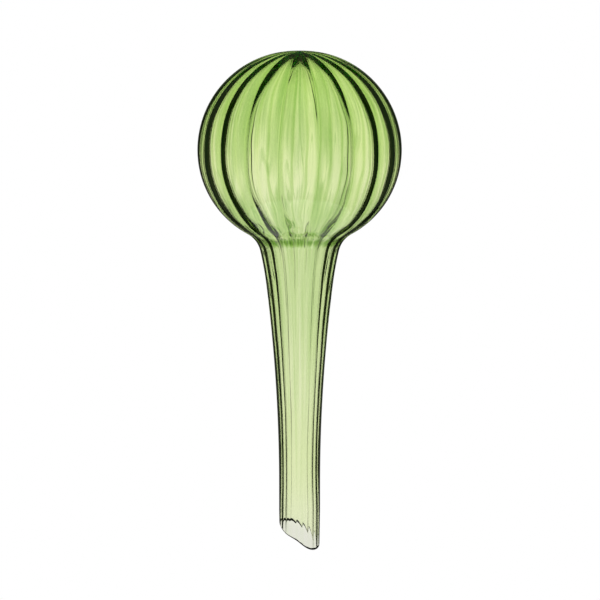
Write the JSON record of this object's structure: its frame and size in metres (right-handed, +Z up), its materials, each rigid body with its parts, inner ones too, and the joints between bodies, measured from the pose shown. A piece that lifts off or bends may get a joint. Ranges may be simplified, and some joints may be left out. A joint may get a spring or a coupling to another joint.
{
  "type": "watering globe",
  "caption": "Ribbed green glass watering globe with a long hollow stem and a slanted mouth, which is pushed into the soil of a plant pot and waters it slowly.",
  "frame": {"origin": "on the stem's axis, level with the lowest point of the slanted mouth", "axes": "+Z up the stem to the crown; the mouth's low side is towards +X and -Y"},
  "size_m": [0.1024, 0.1024, 0.25],
  "materials": {
    "globe_glass": "clear bottle-green glass, fire-polished outside, ribbed inside, deeper green where it is thick",
    "stem_glass": "the same green glass drawn thin, so paler, with a melted round lip"
  },
  "bodies": {
    "root": {"crown": "globe_glass", "shoulder": "globe_glass", "upper_belly": "globe_glass", "lower_belly": "globe_glass", "heel": "globe_glass", "neck": "globe_glass", "stem": "stem_glass", "mouth": "stem_glass"}
  },
  "joints": []
}
